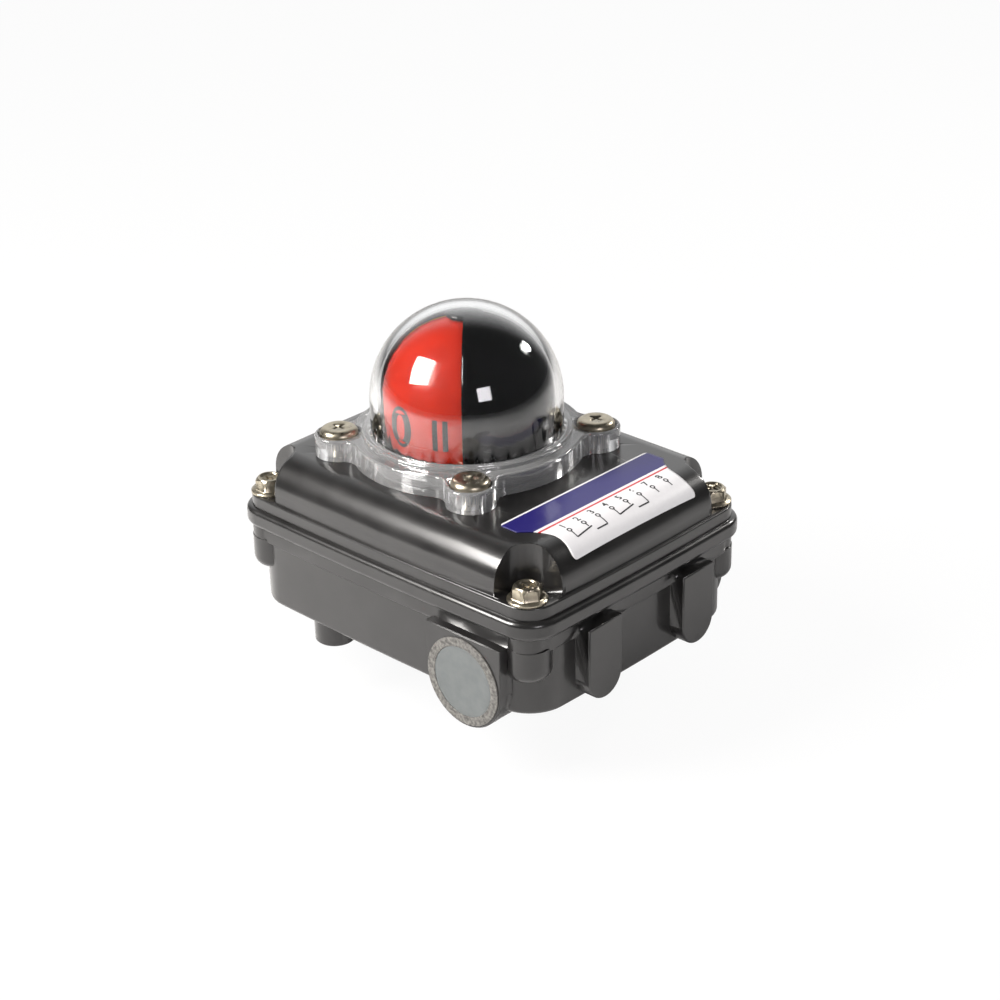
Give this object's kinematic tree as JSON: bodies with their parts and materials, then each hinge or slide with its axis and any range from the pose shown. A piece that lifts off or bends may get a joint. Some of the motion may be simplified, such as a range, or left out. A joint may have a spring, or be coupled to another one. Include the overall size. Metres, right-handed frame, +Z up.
{
  "type": "valve limit switch box",
  "caption": "Black cast limit switch box with a clear dome over a red and yellow position indicator, a through shaft, cam-operated microswitches and threaded conduit entries.",
  "frame": {"origin": "centre of the four threaded feet, at their lower faces", "axes": "+X along the long side, towards the end face with two lugs; +Z up through the dome; -Y is the long side with the open conduit entry"},
  "size_m": [0.1305, 0.1102, 0.1235],
  "materials": {
    "black_coat": "satin black powder coat on cast aluminium",
    "clear_dome": "clear polycarbonate",
    "black_mask": "gloss black",
    "indicator_red_yellow": "red and yellow quarters",
    "zinc_steel": "yellowish zinc plate",
    "label": "white with a blue band and a red line",
    "seal_rubber": "matt",
    "stainless": "turned",
    "bronze": "sintered bronze and brass",
    "cam_red": "moulded",
    "cam_green": "moulded",
    "spring_steel": "bright",
    "switch_black": "moulded",
    "plunger_white": "moulded",
    "insulator": "pressboard",
    "plated_steel": "zinc plate"
  },
  "bodies": {
    "housing": {"base_housing": "black_coat", "cover_housing": "black_coat", "indicator_dome": "clear_dome", "indicator_shroud": "black_mask", "cover_bolts": "zinc_steel", "dome_screws": "zinc_steel", "label_plate": "label", "cover_seal": "seal_rubber", "dome_seal": "seal_rubber", "shaft_seal": "seal_rubber", "seal_retainer": "stainless", "blanking_plug": "stainless", "lower_bush": "bronze", "upper_bush": "bronze", "terminal_clamps": "bronze", "lower_lever_pin": "spring_steel", "upper_lever_pin": "spring_steel", "lower_switch": "switch_black", "upper_switch": "switch_black", "terminal_strip": "switch_black", "switch_spacer": "insulator", "switch_bracket": "plated_steel", "switch_screws": "plated_steel", "bracket_screws": "plated_steel", "terminal_screws": "plated_steel", "earth_screw": "plated_steel"},
    "shaft": {"main_shaft": "stainless", "retaining_ring": "stainless", "lower_cam": "cam_red", "upper_cam": "cam_green", "lower_cam_spring": "spring_steel", "upper_cam_spring": "spring_steel", "cam_collar": "stainless", "indicator_drum": "indicator_red_yellow"},
    "lower_lever": {"lower_switch_lever": "spring_steel"},
    "upper_lever": {"upper_switch_lever": "spring_steel"},
    "lower_plunger": {"lower_switch_plunger": "plunger_white"},
    "upper_plunger": {"upper_switch_plunger": "plunger_white"}
  },
  "joints": [
    {"name": "shaft_turn", "type": "hinge", "parent": "housing", "child": "shaft", "pos_m": [-0.0065, 0, 0.02], "axis": [0, 0, 1], "range_deg": [0, 90]},
    {"name": "lower_lever_swing", "type": "hinge", "parent": "housing", "child": "lower_lever", "pos_m": [-0.0248, 0.016, 0.03015], "axis": [0, 0, 1], "range_deg": [-4.3, 0]},
    {"name": "upper_lever_swing", "type": "hinge", "parent": "housing", "child": "upper_lever", "pos_m": [-0.0248, 0.016, 0.04145], "axis": [0, 0, 1], "range_deg": [0, 4.3]},
    {"name": "lower_plunger_slide", "type": "slide", "parent": "housing", "child": "lower_plunger", "axis": [1, 0, 0], "range_m": [-0.00053, 0]},
    {"name": "upper_plunger_slide", "type": "slide", "parent": "housing", "child": "upper_plunger", "axis": [1, 0, 0], "range_m": [0, 0.00053]}
  ],
  "couplings": [
    {"joint": "lower_lever_swing", "follows": "shaft_turn", "ratio": -0.047746},
    {"joint": "upper_lever_swing", "follows": "shaft_turn", "ratio": 0.047746},
    {"joint": "lower_plunger_slide", "follows": "shaft_turn", "m_per_rad": -0.00033423},
    {"joint": "upper_plunger_slide", "follows": "shaft_turn", "m_per_rad": 0.00033423}
  ]
}
